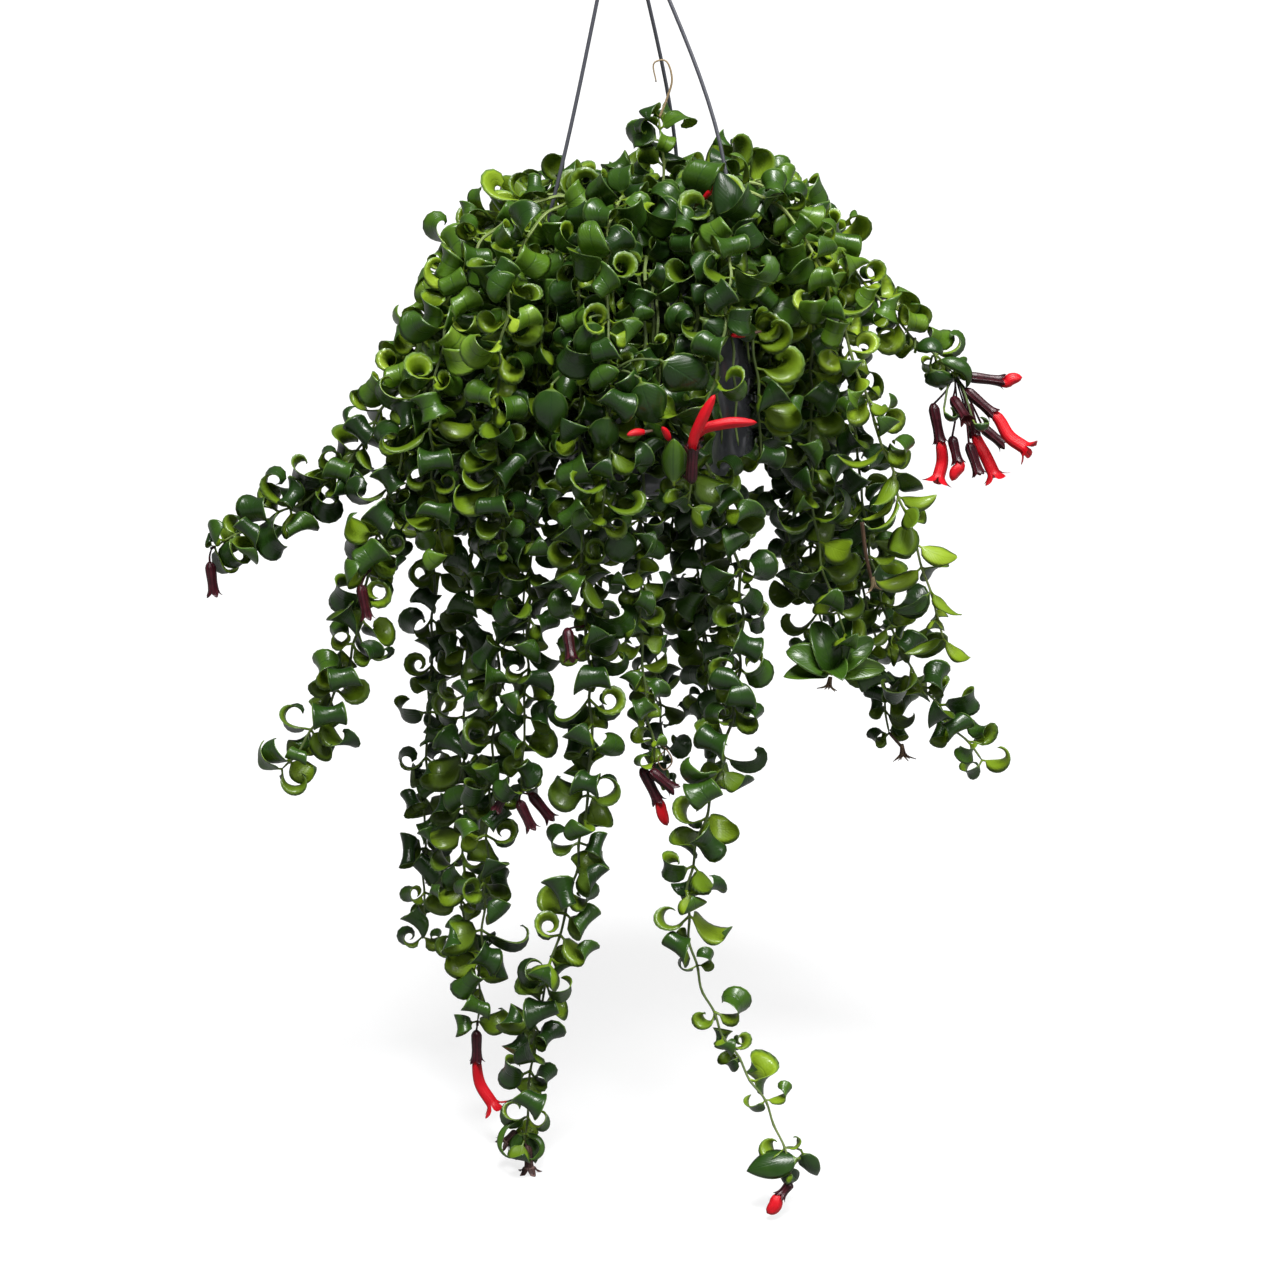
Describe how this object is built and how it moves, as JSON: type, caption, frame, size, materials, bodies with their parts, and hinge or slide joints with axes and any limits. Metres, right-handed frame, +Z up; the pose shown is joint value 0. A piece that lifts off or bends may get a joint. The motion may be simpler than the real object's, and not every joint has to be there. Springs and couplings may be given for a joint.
{
  "type": "hanging basket plant",
  "caption": "Trailing lipstick plant with tightly curled waxy leaves and red tubular flowers, in a round dark plastic pot on a three-rod hanger with a hook.",
  "frame": {"origin": "inside top of the hook, where it bears on what it hangs from", "axes": "+Z up, the way the load hangs; the pictured front faces -Y; +X to the viewer's right"},
  "size_m": [0.5809, 0.4245, 0.9356],
  "materials": {
    "pot": "glossy anthracite, smooth moulded plastic",
    "hanger": "satin dark grey moulded plastic",
    "soil": "dark moist potting mix, crumbly",
    "leafy_stem": "waxy, dark glossy green above, yellow-green below, on slender green-brown stems",
    "calyx": "dull dark maroon, finely downy",
    "corolla": "soft scarlet, finely downy"
  },
  "bodies": {
    "root": {"calyx_centre_pair": "calyx", "calyx_dried_calyces": "calyx", "calyx_far_left_calyx": "calyx", "calyx_floor_flower": "calyx", "calyx_front_calyx": "calyx", "calyx_front_left_trio": "calyx", "calyx_left_flower": "calyx", "calyx_low_left_calyx": "calyx", "calyx_right_cluster": "calyx", "calyx_thin_pair": "calyx", "corolla_centre_pair_1": "corolla", "corolla_centre_pair_2": "corolla", "corolla_floor_flower_1": "corolla", "corolla_left_flower_1": "corolla", "corolla_right_cluster_1": "corolla", "corolla_right_cluster_2": "corolla", "corolla_right_cluster_4": "corolla", "corolla_right_cluster_5": "corolla", "corolla_right_cluster_8": "corolla", "corolla_thin_pair_1": "corolla", "hanger": "hanger", "pot": "pot", "soil": "soil", "stem_back_01": "leafy_stem", "stem_back_02": "leafy_stem", "stem_back_03": "leafy_stem", "stem_back_04": "leafy_stem", "stem_back_05": "leafy_stem", "stem_back_06": "leafy_stem", "stem_back_07": "leafy_stem", "stem_back_08": "leafy_stem", "stem_back_09": "leafy_stem", "stem_back_10": "leafy_stem", "stem_back_11": "leafy_stem", "stem_back_12": "leafy_stem", "stem_back_right_low": "leafy_stem", "stem_crown": "leafy_stem", "stem_front_left": "leafy_stem", "stem_front_left_short": "leafy_stem", "stem_front_long": "leafy_stem", "stem_front_right_long": "leafy_stem", "stem_front_right_short": "leafy_stem", "stem_front_short": "leafy_stem", "stem_front_thin": "leafy_stem", "stem_left_crown": "leafy_stem", "stem_left_far": "leafy_stem", "stem_left_flowering": "leafy_stem", "stem_left_long": "leafy_stem", "stem_left_low": "leafy_stem", "stem_left_middle": "leafy_stem", "stem_left_short": "leafy_stem", "stem_right_back": "leafy_stem", "stem_right_far": "leafy_stem", "stem_right_flowering": "leafy_stem", "stem_right_middle": "leafy_stem", "stem_right_pale": "leafy_stem", "stem_right_rosette": "leafy_stem"}
  },
  "joints": []
}
